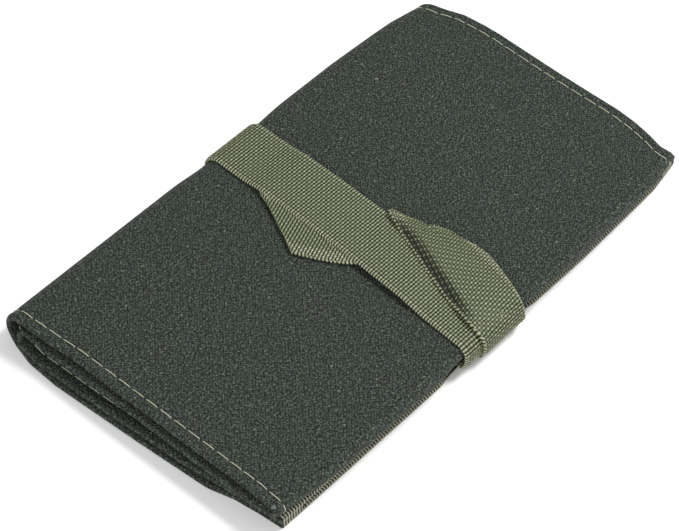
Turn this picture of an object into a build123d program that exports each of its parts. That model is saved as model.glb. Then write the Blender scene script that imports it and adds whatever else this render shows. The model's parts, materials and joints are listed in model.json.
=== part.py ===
from build123d import *
import math
import os

# Carving tool roll: one long canvas sheet folded in four, tied with one webbing strap.
# Frame: X along the folded roll, +Y towards the spine, +Z up, origin under the middle.
# From the top the leaves are: cover, inner, middle and lower leaf.

# folded roll
roll_length = 222.0
roll_width = 133.2
roll_height = 14.0

# canvas and hems
canvas = 1.5
hem_fold = 0.8
hem_width = 10.0
stitch_inset = 3.5
stitch_pitch = 6.6
stitch_length = 5.2
thread = 0.5
thread_height = 0.3

# air between the leaves, and where the folds sit
leaf_gap = 1.6
inner_fold_inset = 8.0
spine_hinge_share = 0.65
middle_hinge_share = 0.5
fold_gap = 0.1
body_gap = 0.3

# free long edges, overcast with thread
edging_width = 3.0
edging_height = 0.4
lower_edge_inset = 3.6
middle_edge_inset = 3.0

# pocket panels on the inner face
panel = 1.0
panel_height = 82.0
panel_inset = 18.0
pockets_per_leaf = 2
seam_width = 0.8
seam_height = 0.25

# webbing strap
strap_width = 25.0
strap = 1.3
strap_x_spine = 2.6
strap_x_front = -6.0
wrap_x_front = 0.5
channel_slack = 1.0
channel_ramp = 3.0
anchor_length = 18.0
anchor_clear = 1.2
anchor_stitch_inset = 3.0

# second wrap: it leans over the first, is folded under and comes out on the near side
wrap_lean = 21.0
wrap_fold_lean = 12.0
wrap_fold_turn = 46.0
wrap_fold_clear = 0.5
tail_tip_y = 38.0
tail_lean = 26.0
tail_cut_lean = 24.7
hump_ramp = 8.0
hinge_offset = 1.6
tail_start = 0.35
tail_free_angle = 75.0

# levels of the leaves
half = roll_length / 2
top = roll_height
mid = roll_height / 2
front_extra = 2 * (strap + fold_gap)
back_extra = (strap + fold_gap) / 2
shift = (front_extra - back_extra) / 2
y_front = shift - roll_width / 2
y_back = shift + roll_width / 2
spine_radius = roll_height / 2
y_spine = y_back - spine_radius
under_lift = strap + fold_gap
anchor_low = under_lift + canvas
middle_top = anchor_low + strap + thread_height + fold_gap + canvas
inner_low = middle_top + leaf_gap
inner_mid = (inner_low + middle_top) / 2
inner_radius = leaf_gap / 2 + canvas
y_inner = y_back - inner_fold_inset - inner_radius
front_radius = (top - inner_low) / 2
y_fold = y_front + front_radius
y_lower_edge = y_front + lower_edge_inset
y_middle_edge = y_front + middle_edge_inset
strap_over = top + fold_gap
tail_low = strap_over
channel_low = strap_x_spine + strap_width / 2 + channel_slack
channel_near = wrap_x_front - strap_width / 2 - channel_slack
anchor_near = strap_x_front - strap_width / 2
anchor_far = strap_x_front + strap_width / 2
panel_near = -half + hem_width
panel_far = min(panel_near + panel_height, anchor_near - fold_gap, channel_near - channel_ramp)
panel_front = y_front + panel_inset
panel_back = y_inner - panel_inset / 3


def line_crossing(p, angle_p, q, angle_q):
    """Where a line through p meets a line through q; angles in degrees from +Y towards +X."""
    pd = (math.sin(math.radians(angle_p)), math.cos(math.radians(angle_p)))
    qd = (math.sin(math.radians(angle_q)), math.cos(math.radians(angle_q)))
    cross = pd[0] * qd[1] - pd[1] * qd[0]
    along = ((q[0] - p[0]) * qd[1] - (q[1] - p[1]) * qd[0]) / cross
    return (p[0] + along * pd[0], p[1] + along * pd[1])


def stepped(point, angle, distance):
    """The point moved by a distance along an angle, in degrees from +Y towards +X."""
    a = math.radians(angle)
    return (point[0] + distance * math.sin(a), point[1] + distance * math.cos(a))


def save(builder, name):
    builder.part.label = name
    export_step(builder.part, f"parts/{name}.step")


def add_outline(points, low, high):
    """A straight prism on an outline in the XY plane."""
    with BuildSketch(Plane.XY.offset(low)) as section:
        with BuildLine():
            Polyline(*points, close=True)
        make_face()
    extrude(section.sketch, amount=high - low)


def add_block(x_low, x_high, y_low, y_high, z_low, z_high):
    add_outline([(x_low, y_low), (x_high, y_low), (x_high, y_high), (x_low, y_high)], z_low, z_high)


def add_bend(x_low, x_high, y, z, inner, outer, start, sweep):
    """A curved wall about an X axis through (y, z), from a start angle over a sweep."""
    with BuildSketch(Plane.YZ.offset(x_low)) as section:
        with BuildLine():
            CenterArc((y, z), outer, start, sweep)
            CenterArc((y, z), inner, start, sweep)
            for angle in (start, start + sweep):
                a = math.radians(angle)
                near = (y + inner * math.cos(a), z + inner * math.sin(a))
                far = (y + outer * math.cos(a), z + outer * math.sin(a))
                Line(near, far)
        make_face()
    extrude(section.sketch, amount=x_high - x_low)


def leaf_outline(outer, side):
    """Lengthwise section of a leaf: its outer face is flat, the hems thicken its inner face."""
    face = outer + side * canvas
    hem = face + side * hem_fold
    return [
        (-half, outer),
        (half, outer),
        (half, hem),
        (half - hem_width, hem),
        (half - hem_width, face),
        (-half + hem_width, face),
        (-half + hem_width, hem),
        (-half, hem),
    ]


def lower_outline():
    """The lower leaf's section: like the others, but lifted over the strap that runs under it."""
    ramps = [
        (channel_near - channel_ramp, 0.0),
        (channel_near, under_lift),
        (channel_low, under_lift),
        (channel_low + channel_ramp, 0.0),
    ]
    upper = [(x, z + canvas) for x, z in reversed(ramps)]
    plain = leaf_outline(0.0, 1.0)
    return [plain[0], *ramps, *plain[1:5], *upper, *plain[5:]]


def add_leaf(profile, y_low, y_high):
    with BuildSketch(Plane.XZ.offset(-y_high)) as section:
        with BuildLine():
            Polyline(*profile, close=True)
        make_face()
    extrude(section.sketch, amount=y_high - y_low)


def add_stitches(face, side, y_low, y_high):
    """Rows of thread along both hems, standing on a face."""
    count = int((y_high - y_low) / stitch_pitch)
    first = (y_low + y_high) / 2 - (count - 1) * stitch_pitch / 2
    low, high = sorted((face, face + side * thread_height))
    for end in (-1, 1):
        x = end * (half - stitch_inset)
        for i in range(count):
            y = first + i * stitch_pitch
            add_block(x - thread / 2, x + thread / 2, y - stitch_length / 2, y + stitch_length / 2, low, high)


def panel_walls():
    """Where each pocket's side seam runs, across one leaf."""
    step = (panel_back - panel_front) / pockets_per_leaf
    return [panel_front + i * step for i in range(pockets_per_leaf + 1)]


def add_panel(leaf_face, side):
    low, high = sorted((leaf_face, leaf_face + side * panel))
    add_block(panel_near, panel_far, panel_front, panel_back, low, high)


def add_seams(leaf_face, side):
    """Seams that shut the pockets along their sides and bottoms."""
    face = leaf_face + side * panel
    low, high = sorted((face, face + side * seam_height))
    for wall in panel_walls():
        y = min(max(wall, panel_front + seam_width), panel_back - seam_width)
        add_block(panel_near, panel_far, y - seam_width / 2, y + seam_width / 2, low, high)
    add_block(panel_near, panel_near + seam_width, panel_front, panel_back, low, high)


os.makedirs("parts", exist_ok=True)

# canvas leaves
with BuildPart() as lower_leaf:
    add_leaf(lower_outline(), y_lower_edge, y_spine)
save(lower_leaf, "lower_leaf")

with BuildPart() as middle_leaf:
    add_leaf(leaf_outline(middle_top, -1.0), y_middle_edge, y_inner)
save(middle_leaf, "middle_leaf")

with BuildPart() as inner_leaf:
    add_leaf(leaf_outline(inner_low, 1.0), y_fold, y_inner)
save(inner_leaf, "inner_leaf")

with BuildPart() as cover_leaf:
    add_leaf(leaf_outline(top, -1.0), y_fold, y_spine)
save(cover_leaf, "cover_leaf")

# folds of the canvas
with BuildPart() as front_fold:
    add_bend(-half, half, y_fold, top - front_radius, front_radius - canvas, front_radius, 90, 180)
save(front_fold, "front_fold")

raised_radius = (top - under_lift) / 2
with BuildPart() as outer_spine_fold:
    add_bend(-half, channel_near, y_spine, mid, spine_radius - canvas, spine_radius, -90, 180)
    add_bend(channel_low, half, y_spine, mid, spine_radius - canvas, spine_radius, -90, 180)
    add_bend(
        channel_near - canvas,
        channel_low + canvas,
        y_spine,
        under_lift + raised_radius,
        raised_radius - canvas,
        raised_radius,
        -90,
        180,
    )
    add_block(
        channel_near - canvas,
        channel_near,
        y_spine,
        y_spine + canvas,
        0.0,
        under_lift + canvas,
    )
    add_block(
        channel_low,
        channel_low + canvas,
        y_spine,
        y_spine + canvas,
        0.0,
        under_lift + canvas,
    )
save(outer_spine_fold, "outer_spine_fold")

with BuildPart() as inner_spine_fold:
    add_bend(-half, half, y_inner, inner_mid, inner_radius - canvas, inner_radius, -90, 180)
save(inner_spine_fold, "inner_spine_fold")

# hem stitching, one row at each end of each leaf
with BuildPart() as cover_hem_stitches:
    add_stitches(top, 1.0, y_fold, y_spine)
save(cover_hem_stitches, "cover_hem_stitches")

with BuildPart() as inner_hem_stitches:
    add_stitches(inner_low + canvas + hem_fold, 1.0, y_fold, y_inner)
save(inner_hem_stitches, "inner_hem_stitches")

with BuildPart() as middle_hem_stitches:
    add_stitches(middle_top - canvas - hem_fold, -1.0, y_middle_edge + edging_width, y_inner)
save(middle_hem_stitches, "middle_hem_stitches")

with BuildPart() as lower_hem_stitches:
    add_stitches(canvas + hem_fold, 1.0, y_lower_edge + edging_width, y_spine)
save(lower_hem_stitches, "lower_hem_stitches")

# overcast thread along the two free long edges, between the hems
edging_near = -half + hem_width
edging_far = half - hem_width


def add_edging(edge, outer, side, runs):
    """Thread round a free edge and over a leaf's inner face, one block for each run along X."""
    inner = outer + side * canvas
    low, high = sorted((outer, inner))
    thread_low, thread_high = sorted((inner, inner + side * edging_height))
    for x_low, x_high in runs:
        add_block(x_low, x_high, edge - edging_height, edge, low, high)
        add_block(x_low, x_high, edge - edging_height, edge + edging_width, thread_low, thread_high)


# the strap's sewn end lies on this edge, so the thread stands clear of it there
edging_skip_low = channel_near - channel_ramp - fold_gap
edging_skip_high = channel_low + channel_ramp + fold_gap
with BuildPart() as lower_edging:
    add_edging(y_lower_edge, 0.0, 1.0, [(edging_near, edging_skip_low), (edging_skip_high, edging_far)])
save(lower_edging, "lower_edging")

with BuildPart() as middle_edging:
    beside_anchor = [(edging_near, anchor_near - fold_gap), (anchor_far + fold_gap, edging_far)]
    add_edging(y_middle_edge, middle_top, -1.0, beside_anchor)
save(middle_edging, "middle_edging")

# pocket panels and their seams: the inner faces look at each other in pairs
with BuildPart() as lower_pockets:
    add_panel(canvas, 1.0)
save(lower_pockets, "lower_pockets")

with BuildPart() as lower_pocket_seams:
    add_seams(canvas, 1.0)
save(lower_pocket_seams, "lower_pocket_seams")

with BuildPart() as middle_pockets:
    add_panel(middle_top - canvas, -1.0)
save(middle_pockets, "middle_pockets")

with BuildPart() as middle_pocket_seams:
    add_seams(middle_top - canvas, -1.0)
save(middle_pocket_seams, "middle_pocket_seams")

with BuildPart() as inner_pockets:
    add_panel(inner_low + canvas, 1.0)
save(inner_pockets, "inner_pockets")

with BuildPart() as inner_pocket_seams:
    add_seams(inner_low + canvas, 1.0)
save(inner_pocket_seams, "inner_pocket_seams")

with BuildPart() as cover_pockets:
    add_panel(top - canvas, -1.0)
save(cover_pockets, "cover_pockets")

with BuildPart() as cover_pocket_seams:
    add_seams(top - canvas, -1.0)
save(cover_pocket_seams, "cover_pocket_seams")

# strap: its sewn end lies on the lower leaf's inner face, at the free edge
y_anchor = y_front + anchor_clear
with BuildPart() as strap_anchor:
    add_block(anchor_near, anchor_far, y_anchor, y_anchor + anchor_length, anchor_low, anchor_low + strap)
save(strap_anchor, "strap_anchor")

with BuildPart() as strap_anchor_stitches:
    stitched_low = anchor_low + strap
    stitched_high = stitched_low + thread_height
    y_low = y_lower_edge + anchor_stitch_inset
    y_high = y_anchor + anchor_length - anchor_stitch_inset
    x_low = anchor_near + anchor_stitch_inset
    x_high = anchor_far - anchor_stitch_inset
    for y in (y_low, y_high):
        add_block(x_low, x_high, y - thread / 2, y + thread / 2, stitched_low, stitched_high)
    for x in (x_low, x_high):
        add_block(x - thread / 2, x + thread / 2, y_low, y_high, stitched_low, stitched_high)
save(strap_anchor_stitches, "strap_anchor_stitches")

# strap under the roll, from the spine to the front edge
leg_a_outer = y_front - fold_gap
leg_b_outer = leg_a_outer - strap - fold_gap
with BuildPart() as strap_under_run:
    add_outline(
        [
            (strap_x_spine - strap_width / 2, y_spine),
            (strap_x_spine + strap_width / 2, y_spine),
            (wrap_x_front + strap_width / 2, leg_b_outer - strap),
            (wrap_x_front - strap_width / 2, leg_b_outer - strap),
        ],
        0.0,
        strap,
    )
save(strap_under_run, "strap_under_run")

strap_spine_radius = (strap_over + strap) / 2
with BuildPart() as strap_spine_bend:
    add_bend(
        strap_x_spine - strap_width / 2,
        strap_x_spine + strap_width / 2,
        y_spine,
        strap_spine_radius,
        strap_spine_radius - strap,
        strap_spine_radius,
        -90,
        180,
    )
save(strap_spine_bend, "strap_spine_bend")

# outlines of the crossing, seen from above
run_lean = math.degrees(math.atan2(strap_x_spine - strap_x_front, y_spine - y_fold))
near_selvage = (strap_x_front - strap_width / 2, y_fold)
far_selvage = (strap_x_front + strap_width / 2, y_fold)
fold_touch = stepped(far_selvage, run_lean + 90, wrap_fold_clear)
wrap_near = (wrap_x_front - strap_width / 2, y_fold)
wrap_far = (wrap_x_front + strap_width / 2, y_fold)
wrap_fold_back = line_crossing(fold_touch, run_lean, wrap_near, wrap_lean)
wrap_fold_length = strap_width / math.sin(math.radians(wrap_fold_turn))
wrap_fold_front = stepped(wrap_fold_back, 180 - wrap_fold_lean, wrap_fold_length)
tail_tip = line_crossing(near_selvage, run_lean, (0.0, tail_tip_y), 90)
cut_to_selvage = math.radians(tail_lean + tail_cut_lean)
tail_corner = stepped(tail_tip, 180 + tail_cut_lean, strap_width / math.sin(cut_to_selvage))
hinge_foot = stepped(near_selvage, run_lean - 90, hinge_offset)
tail_tip_hinge = line_crossing(hinge_foot, run_lean, tail_tip, 180 + tail_cut_lean)
tail_root_hinge = line_crossing(hinge_foot, run_lean, tail_corner, -tail_lean)


def shifted(point, distance):
    """The point moved square to the hinge line, away from the strap."""
    return stepped(point, run_lean - 90, distance)


def add_run(y_low, y_high, humps, base):
    """A strap run along Y whose height follows steps (y, lift), as a wide wall to be cut to width."""
    low = [(y_low, base + humps[0][1])]
    low += [(y, base + lift) for y, lift in humps]
    low += [(y_high, base + humps[-1][1])]
    high = [(y, z + strap) for y, z in reversed(low)]
    with BuildSketch(Plane.YZ.offset(-half)) as section:
        with BuildLine():
            Polyline(*low, *high, close=True)
        make_face()
    extrude(section.sketch, amount=2 * half)


def keep_inside(points):
    """Cuts what stands so far to an outline seen from above."""
    with BuildSketch() as section:
        with BuildLine():
            Polyline(*points, close=True)
        make_face()
    extrude(section.sketch, amount=3 * top, mode=Mode.INTERSECT)


y_hump_front = min(wrap_fold_front[1], tail_root_hinge[1]) - strap
y_hump_back = tail_tip_hinge[1] + strap
lifted = strap + fold_gap
with BuildPart() as strap_top_run:
    humps = [
        (y_hump_front - hump_ramp, 0.0),
        (y_hump_front, lifted),
        (y_hump_back, lifted),
        (y_hump_back + hump_ramp, 0.0),
    ]
    add_run(y_fold, y_spine, humps, strap_over)
    keep_inside(
        [
            near_selvage,
            far_selvage,
            (strap_x_spine + strap_width / 2, y_spine),
            (strap_x_spine - strap_width / 2, y_spine),
        ]
    )
save(strap_top_run, "strap_top_run")


def add_front_bend(x_middle, inner, z_foot):
    """A leg up the front edge and a quarter turn onto the top."""
    x_low = x_middle - strap_width / 2
    x_high = x_middle + strap_width / 2
    centre_z = top - front_radius
    add_bend(x_low, x_high, y_fold, centre_z, inner, inner + strap, 90, 90)
    add_block(x_low, x_high, y_fold - inner - strap, y_fold - inner, z_foot, centre_z)


leg_foot = strap + body_gap
anchor_foot = anchor_low + body_gap
with BuildPart() as strap_front_bend:
    add_front_bend(strap_x_front, front_radius + fold_gap, anchor_foot)
save(strap_front_bend, "strap_front_bend")

with BuildPart() as wrap_front_bend:
    add_front_bend(wrap_x_front, front_radius + 2 * fold_gap + strap, leg_foot)
save(wrap_front_bend, "wrap_front_bend")

wrap_over = strap_over + strap + fold_gap
with BuildPart() as wrap_top_run:
    humps = [
        (y_hump_front - hump_ramp, 0.0),
        (y_hump_front, lifted),
    ]
    add_run(y_fold, y_spine, humps, wrap_over)
    keep_inside([wrap_near, wrap_far, wrap_fold_front, wrap_fold_back])
save(wrap_top_run, "wrap_top_run")

fold_height = wrap_over + lifted + strap - tail_low
fold_plane = Plane(
    origin=(wrap_fold_back[0], wrap_fold_back[1], tail_low + fold_height / 2),
    x_dir=(math.cos(math.radians(wrap_fold_lean)), math.sin(math.radians(wrap_fold_lean)), 0),
    z_dir=(math.sin(math.radians(wrap_fold_lean)), -math.cos(math.radians(wrap_fold_lean)), 0),
)
with BuildPart() as wrap_fold:
    with BuildSketch(fold_plane):
        with BuildLine():
            CenterArc((0, 0), fold_height / 2, -90, 180)
            CenterArc((0, 0), fold_height / 2 - strap, -90, 180)
            Line((0, fold_height / 2 - strap), (0, fold_height / 2))
            Line((0, -fold_height / 2), (0, strap - fold_height / 2))
        make_face()
    extrude(amount=wrap_fold_length)
save(wrap_fold, "wrap_fold")

with BuildPart() as tail_under_run:
    hidden_end = [shifted(tail_root_hinge, -hinge_offset / 2), shifted(tail_tip_hinge, -hinge_offset / 2)]
    add_outline([wrap_fold_back, wrap_fold_front, *hidden_end], tail_low, tail_low + strap)
save(tail_under_run, "tail_under_run")

with BuildPart() as strap_tail:
    outline = [shifted(tail_root_hinge, tail_start), tail_corner, shifted(tail_tip_hinge, tail_start)]
    add_outline(outline, tail_low, tail_low + strap)
save(strap_tail, "strap_tail")

# hinge lines of the folds: a share of each fold's radius beyond where its leaves end
print("spine hinge", y_spine + spine_hinge_share * spine_radius, mid)
print("middle leaf hinge", y_inner + middle_hinge_share * inner_radius, inner_mid)
print("tail hinge through", tail_tip_hinge, tail_root_hinge, tail_low + strap / 2, "lifts to", tail_free_angle)
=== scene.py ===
import json
import math

import bpy
import numpy as np
from mathutils import Matrix, Vector


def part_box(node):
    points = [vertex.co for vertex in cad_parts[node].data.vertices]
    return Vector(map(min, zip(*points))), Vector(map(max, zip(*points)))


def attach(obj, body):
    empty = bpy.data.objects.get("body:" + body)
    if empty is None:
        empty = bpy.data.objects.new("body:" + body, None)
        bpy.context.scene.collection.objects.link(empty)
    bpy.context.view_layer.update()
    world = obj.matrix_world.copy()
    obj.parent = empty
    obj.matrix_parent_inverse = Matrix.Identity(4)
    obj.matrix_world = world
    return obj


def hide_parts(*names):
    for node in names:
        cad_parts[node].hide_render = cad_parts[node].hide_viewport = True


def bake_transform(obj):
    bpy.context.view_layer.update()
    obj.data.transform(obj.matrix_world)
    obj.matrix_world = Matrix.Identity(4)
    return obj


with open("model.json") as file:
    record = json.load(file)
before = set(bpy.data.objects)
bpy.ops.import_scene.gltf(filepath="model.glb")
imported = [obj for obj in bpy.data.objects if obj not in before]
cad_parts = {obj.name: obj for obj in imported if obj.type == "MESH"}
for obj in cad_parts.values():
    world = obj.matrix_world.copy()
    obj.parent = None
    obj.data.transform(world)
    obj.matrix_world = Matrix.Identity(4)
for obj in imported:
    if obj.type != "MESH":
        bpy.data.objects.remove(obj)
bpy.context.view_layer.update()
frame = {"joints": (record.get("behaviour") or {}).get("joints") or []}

mm = 0.001


def lowHigh(node):
    low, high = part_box(node)
    return np.array(low), np.array(high)


lowerLow = lowHigh("lower_leaf")[0]
coverLow, coverHigh = lowHigh("cover_leaf")
innerLow, innerHigh = lowHigh("inner_leaf")
middleLow, middleHigh = lowHigh("middle_leaf")
frontLow = lowHigh("front_fold")[0]
spineHigh = lowHigh("outer_spine_fold")[1]
print("stage: frame read")


# meshes from arrays

def newMesh(name, points, faces, uv=None, values=None):
    # points is (n, 3), faces (m, 4) corner numbers; uv is a pair and values a number for each point
    mesh = bpy.data.meshes.new(name)
    mesh.vertices.add(len(points))
    mesh.vertices.foreach_set("co", np.ascontiguousarray(points, np.float32).ravel())
    flat = np.ascontiguousarray(faces, np.int32).ravel()
    mesh.loops.add(len(flat))
    mesh.loops.foreach_set("vertex_index", flat)
    mesh.polygons.add(len(faces))
    corners = faces.shape[1]
    mesh.polygons.foreach_set("loop_start", np.arange(0, len(flat), corners, dtype=np.int32))
    mesh.polygons.foreach_set("loop_total", np.full(len(faces), corners, np.int32))
    mesh.polygons.foreach_set("use_smooth", np.full(len(faces), True))
    if uv is not None:
        layer = mesh.uv_layers.new(name="cloth")
        layer.data.foreach_set("uv", np.ascontiguousarray(uv[flat], np.float32).ravel())
    if values is not None:
        # the values are the webbing's relief, which its material paints as shade where it is low
        layer = mesh.attributes.new("reliefAndShade", "FLOAT", "POINT")
        layer.data.foreach_set("value", np.ascontiguousarray(values, np.float32))
    mesh.update()
    mesh.validate()
    thing = bpy.data.objects.new(name, mesh)
    bpy.context.scene.collection.objects.link(thing)
    return thing


def gridFaces(rows, columns, closed=False, capEnds=False):
    # quads between neighbouring rows of a (rows, columns) grid;
    # a closed grid joins its last column to its first
    number = np.arange(rows * columns).reshape(rows, columns)
    if closed:
        number = np.hstack([number, number[:, :1]])
    quads = np.stack([number[:-1, :-1], number[1:, :-1], number[1:, 1:], number[:-1, 1:]], -1).reshape(-1, 4)
    if not capEnds:
        return quads
    # each end is closed by quads between its front half and its back half read backwards
    half = columns // 2
    front = np.arange(half)
    back = columns - 1 - front
    ends = []
    for row, turn in ((0, 1), (rows - 1, -1)):
        strip = np.stack([front[:-1], front[1:], back[1:], back[:-1]], -1) + row * columns
        ends.append(strip[:, ::turn])
    return np.vstack([quads, *ends])


def smoothStep(value, low, high):
    # 0 before low, 1 after high, and an S curve between
    share = np.clip((value - low) / (high - low), 0, 1)
    return share * share * (3 - 2 * share)


def bell(value, middle, width):
    return np.exp(-(((value - middle) / width) ** 2))


def normalised(vectors):
    return vectors / np.maximum(np.linalg.norm(vectors, axis=-1, keepdims=True), 1e-12)


def lengthAlong(points):
    # the length from the first point to each, along a row of points
    return np.concatenate([[0], np.cumsum(np.linalg.norm(np.diff(points, axis=0), axis=1))])


# the canvas: one sheet folded in four

canvas = {
    "thickness": 1.4 * mm,
    "hemExtra": 0.9 * mm,
    "hemWidth": 10 * mm,
    "stitchInset": 4.2 * mm,
    "stitchDip": 0.28 * mm,
    "straightStep": 1.6 * mm,
    "roundSteps": 18,
    "strapPinch": 0.45 * mm,
    "frontPinch": 0.9 * mm,
    "backPinch": 0.8 * mm,
    "innerFoldDeep": 1.1,  # the inner spine fold's depth, as a share of its radius
}

# how far each leaf has slipped towards the near end, in mm, at places across the roll, in mm
slipTables = {
    "lower": (
        [-66, -52, -42, -32, -2, 16, 38, 52, 60, 68],
        [-1.6, -0.6, 0.6, 3.2, 4.8, 5.5, 6.3, 5.4, 3.2, 1.4],
    ),
    "cover": ([-66, -60, -53, -20, 10, 35, 57, 66], [1.9, 1.6, 0.9, 0.7, 0.3, 0.0, 1.2, 1.3]),
    "inner": ([-66, -50, 20, 48, 60], [2.2, 2.9, 2.6, 2.4, 1.8]),
    "middle": ([-64, -46, -20, 10, 49, 60], [-0.6, 0.8, 3.6, 4.4, 5.1, 4.2]),
}

# the far end of the cover isn't square: how far it stands out, in mm, at places across the roll
farTable = (
    [-66, -59, -53, -43, -32, -4, 27, 47, 55, 66],
    [-4.6, -4.2, -3.2, -1.6, -0.5, 0.1, 1.4, 1.1, -0.8, -3.0],
)

# how far the front fold and the spine are drawn in, in mm, at places along the roll
frontPull = ([-111, -104, -96, -86, 50, 75, 95, 104, 111], [2.9, 2.2, 1.4, 0.2, 0.0, 0.9, 1.7, 3.2, 4.4])
backPull = ([-111, 60, 83, 94, 104, 111], [0.0, 0.0, 0.9, 1.6, 3.3, 4.6])

# how the folded sheet lies; a pair is where an effect starts and where it is full
drape = {
    "strapBand": (13 * mm, 30 * mm),  # beside the strap's middle, on the cover
    "frontMiddle": -3.6 * mm,
    "frontBand": (16 * mm, 27 * mm),
    "pressedBand": (0.44, 0.72),  # shares of the strap's width
    "bandDip": 0.25 * mm,
    "waveFade": (40 * mm, 64 * mm),
    "coverWave": 0.2 * mm,
    "middleWave": 0.06 * mm,
    "middleWaveDrop": 1.7,
    "swell": 0.3 * mm,
    "swellFromStrap": (12 * mm, 50 * mm),
    "swellFromMiddle": 70 * mm,
    "nearEnd": (70 * mm, 104 * mm),
    "flatCentre": -2 * mm,
    "flatBand": (46 * mm, 62 * mm),
    "coverDip": 0.45 * mm,
    "innerLift": 0.75 * mm,
    "innerLiftFade": (10 * mm, 50 * mm),
    "middleSag": 1.3 * mm,
    "sagFrom": (-8 * mm, 22 * mm),
    "sagFade": (46 * mm, 60 * mm),
    "farWarpFrom": 50 * mm,
    "pullBand": (30 * mm, 62 * mm),
    "pullLowerTo": 60 * mm,
    "tightBand": (46 * mm, 62 * mm),
    "tightLower": 0.8,
    "backBand": (50 * mm, 66 * mm),
    "normalStep": 0.35 * mm,
}

strap = {
    "thickness": 1.25 * mm,
    "width": 24.6 * mm,
    "gap": 0.12 * mm,
    "ribPitch": 1.25 * mm,
    "yarnPitch": 1.45 * mm,
    "ribHeight": 0.16 * mm,
    "yarnHeight": 0.24 * mm,
    "step": 0.3 * mm,
    "across": 66,
}

halfThick = canvas["thickness"] / 2
half = coverHigh[0]
top = coverHigh[2]
ySpine = coverHigh[1]
yBack = spineHigh[1]
yFold = coverLow[1]
yFront = frontLow[1]
yInner = innerHigh[1]
zCover = top - halfThick
zLower = halfThick
zInner = innerLow[2] + halfThick
zMiddle = middleHigh[2] - halfThick
yLowerEdge = lowerLow[1]
yMiddleEdge = middleLow[1]


def turned(y, z, ry, rz, start, stop, count):
    # points of an elliptic arc about (y, z), angles in degrees from +Y towards +Z
    angle = np.radians(np.linspace(start, stop, count))
    return np.stack([y + ry * np.cos(angle), z + rz * np.sin(angle)], 1)


def arc(y, z, ry, rz, start, stop, steps):
    # the same without its two ends, for a fold between two leaves
    return turned(y, z, ry, rz, start, stop, steps + 1)[1:-1]


def run(y0, y1, z):
    # a straight leaf across the roll
    steps = max(2, int(abs(y1 - y0) / canvas["straightStep"]))
    return np.stack([np.linspace(y0, y1, steps + 1), np.full(steps + 1, z)], 1)


outerMid = (zCover + zLower) / 2
frontMid = (zCover + zInner) / 2
innerMid = (zInner + zMiddle) / 2
frontRadius = (zCover - zInner) / 2
innerRadius = (zInner - zMiddle) / 2
steps = canvas["roundSteps"]
pathParts = [
    run(yLowerEdge, ySpine, zLower),
    arc(ySpine, outerMid, yBack - ySpine - halfThick, outerMid - zLower, -90, 90, steps * 2),
    run(ySpine, yFold, zCover),
    arc(yFold, frontMid, yFold - yFront - halfThick, frontRadius, 90, 270, steps),
    run(yFold, yInner, zInner),
    arc(yInner, innerMid, innerRadius * canvas["innerFoldDeep"], innerRadius, 90, -90, steps),
    run(yInner, yMiddleEdge, zMiddle),
]
path = np.vstack(pathParts)
pathLength = lengthAlong(path)
ends = np.cumsum([len(p) for p in pathParts]) - 1
# lengths along the sheet where each leaf or fold ends
lowerEnd, roundEnd, coverEnd, frontEnd, innerEnd, turnEnd, sheetEnd = pathLength[ends]


def alongLeaves(lower, cover, inner, middle):
    # a value that is steady on each leaf and passes from one to the next round the folds
    marks = [0, lowerEnd, roundEnd, coverEnd, frontEnd, innerEnd, turnEnd, sheetEnd]
    return lambda length: np.interp(length, marks, [lower, lower, cover, cover, inner, inner, middle, middle])


leafShare = {
    "lower": alongLeaves(1, 0, 0, 0),
    "cover": alongLeaves(0, 1, 0, 0),
    "inner": alongLeaves(0, 0, 1, 0),
    "middle": alongLeaves(0, 0, 0, 1),
}


def lookUp(table, value):
    # a table in mm read at a length in metres
    return np.interp(value / mm, table[0], table[1]) * mm


# the strap's middle line across the roll, x against y, on the top and underneath
strapLine = {"y": [-64 * mm, -4 * mm, 18 * mm, 60 * mm], "x": [-7.0 * mm, -1.6 * mm, -0.2 * mm, 1.7 * mm]}
underLine = {"y": [-66 * mm, 60 * mm], "x": [1.1 * mm, 1.7 * mm]}


def strapX(y):
    return np.interp(y, strapLine["y"], strapLine["x"])


def underX(y):
    return np.interp(y, underLine["y"], underLine["x"])


strapRoom = strap["thickness"] + 0.15 * mm
liftSlope = 4 * mm
anchorLength = 15 * mm


def underLift(x, y):
    # the lower leaf is lifted over the strap that runs under it
    across = np.abs(x - underX(y))
    return strapRoom * (1 - smoothStep(across, strap["width"] / 2, strap["width"] / 2 + liftSlope))


# lengths of the waves along and across the roll, and where they start
slack = {"broad": (37 * mm, 29 * mm), "slanted": (19 * mm, 23 * mm), "fine": (13 * mm, 31 * mm)}
slackStart = {"broad": (1.3, 0.4), "fine": 2.0}


def waves(x, y):
    # slack in the cloth: a product of two broad sines, plus slanting sines half and a quarter as high
    (broadX, broadY), (slantX, slantY), (fineX, fineY) = slack["broad"], slack["slanted"], slack["fine"]
    broad = np.sin(x / broadX + slackStart["broad"][0]) * np.sin(y / broadY + slackStart["broad"][1])
    slanted = np.sin(x / slantX - y / slantY)
    fine = np.sin(x / fineX + y / fineY + slackStart["fine"])
    return broad + 0.5 * (slanted + 0.5 * fine)


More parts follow.
